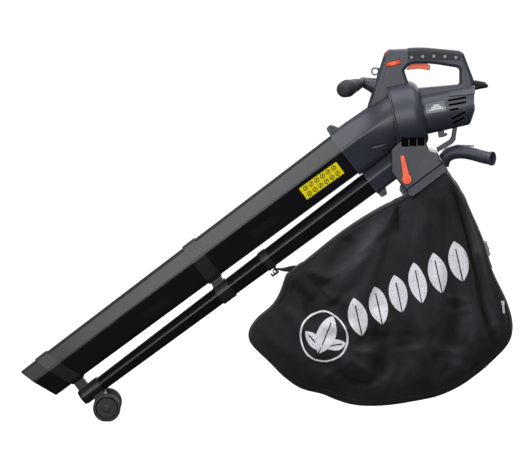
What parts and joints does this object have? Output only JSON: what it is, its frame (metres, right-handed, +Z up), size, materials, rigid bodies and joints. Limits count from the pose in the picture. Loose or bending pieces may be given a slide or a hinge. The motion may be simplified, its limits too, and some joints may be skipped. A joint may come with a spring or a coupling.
{
  "type": "garden blower vacuum",
  "caption": "Corded garden blower and vacuum: slanted suction and blow tubes on wheels, motor with D-handle, swivelling front handle, change-over lever and debris bag.",
  "frame": {"origin": "middle of the main grip, where the machine is held", "axes": "+Z up, -X towards the nozzles, -Y the user's left hand side"},
  "size_m": [1.0289, 0.2444, 0.7816],
  "materials": {
    "housing_plastic": "fine grained satin",
    "tube_plastic": "glossy",
    "black_plastic": "satin",
    "orange_plastic": "satin",
    "soft_rubber": "matt",
    "wheel_plastic": "moulded tread",
    "steel": "brushed",
    "core_steel": "laminated",
    "copper": "enamelled",
    "carbon": "matt carbon",
    "cast_aluminium": "as cast",
    "badge": "satin",
    "stud_plastic": "satin",
    "lead_rubber": "matt",
    "bag_cloth": "woven",
    "webbing": "woven webbing"
  },
  "bodies": {
    "machine": {"suction_tube_upper": "tube_plastic", "suction_tube_lower": "tube_plastic", "blow_tube_upper": "tube_plastic", "blow_tube_lower": "tube_plastic", "tube_clamp": "black_plastic", "nozzle_collar": "black_plastic", "wheel_axle": "steel", "axle_caps": "black_plastic", "fan_casing": "housing_plastic", "intake_cover": "housing_plastic", "casing_fixings": "steel", "front_bearing": "steel", "rear_bearing": "steel", "motor_brackets": "cast_aluminium", "stator_core": "core_steel", "field_coils": "copper", "brush_holders": "copper", "carbon_brushes": "carbon", "housing_left": "housing_plastic", "housing_right": "housing_plastic", "spine_cover": "housing_plastic", "rear_cover": "housing_plastic", "housing_screws": "steel", "badge_plate": "badge", "soft_grip": "soft_rubber", "grip_studs": "stud_plastic", "trigger_pin": "steel", "switch_block": "black_plastic", "speed_control": "black_plastic", "cord_boot": "soft_rubber", "lead_loop": "housing_plastic", "handle_bolt": "steel", "strap_eye": "housing_plastic", "supply_lead": "lead_rubber", "plug_body": "lead_rubber", "plug_pins": "copper", "strap_hook": "black_plastic", "bag_strap": "webbing"},
    "rotor": {"motor_shaft": "steel", "mulching_fan": "black_plastic", "fan_nut": "steel", "armature_core": "core_steel", "armature_windings": "copper", "commutator": "copper", "cooling_fan": "black_plastic"},
    "trigger": {"trigger": "orange_plastic"},
    "speed_dial": {"speed_dial": "orange_plastic"},
    "lock_button": {"lock_button": "orange_plastic"},
    "front_handle": {"front_handle_core": "housing_plastic", "front_handle_grip": "soft_rubber"},
    "change_over": {"change_over_flap": "black_plastic", "change_over_lever": "orange_plastic", "lever_screw": "steel"},
    "left_wheel": {"wheel_left": "wheel_plastic"},
    "right_wheel": {"wheel_right": "wheel_plastic"},
    "bag": {"bag_frame": "housing_plastic", "bag_frame_grip": "housing_plastic", "bag_latch": "black_plastic", "bag_fabric": "bag_cloth"}
  },
  "joints": [
    {"name": "rotor_spin", "type": "hinge", "parent": "machine", "child": "rotor", "pos_m": [-0.07594, 0, -0.12204], "axis": [0.9781, 0, 0.2079], "continuous": true},
    {"name": "trigger_pull", "type": "hinge", "parent": "machine", "child": "trigger", "pos_m": [-0.047, 0, -0.001], "axis": [0, -1, 0], "range_deg": [0, 5], "stiffness_Nm_per_rad": 1, "springref_deg": -3.44},
    {"name": "dial_turn", "type": "hinge", "parent": "machine", "child": "speed_dial", "pos_m": [-0.08, 0, -0.0055], "axis": [-0.2079, 0, 0.9781], "range_deg": [0, 270]},
    {"name": "lock_press", "type": "slide", "parent": "machine", "child": "lock_button", "axis": [0.7071, 0, -0.7071], "range_m": [0, 0.0016], "stiffness_N_per_m": 400, "springref_m": -0.002},
    {"name": "front_handle_swing", "type": "hinge", "parent": "machine", "child": "front_handle", "pos_m": [-0.12, 0, -0.0535], "axis": [-0.9513, 0, 0.3081], "range_deg": [0, 180]},
    {"name": "change_over_turn", "type": "hinge", "parent": "machine", "child": "change_over", "pos_m": [-0.0525, 0, -0.2457], "axis": [0, 1, 0], "range_deg": [0, 58]},
    {"name": "bag_detach", "type": "slide", "parent": "machine", "child": "bag", "axis": [0.6004, 0, -0.7997], "range_m": [0, 0.08], "deforming": ["bag_strap"]},
    {"name": "left_wheel_spin", "type": "hinge", "parent": "machine", "child": "left_wheel", "pos_m": [-0.68012, 0, -0.72636], "axis": [0, 1, 0], "continuous": true},
    {"name": "right_wheel_spin", "type": "hinge", "parent": "machine", "child": "right_wheel", "pos_m": [-0.68012, 0, -0.72636], "axis": [0, 1, 0], "continuous": true}
  ]
}
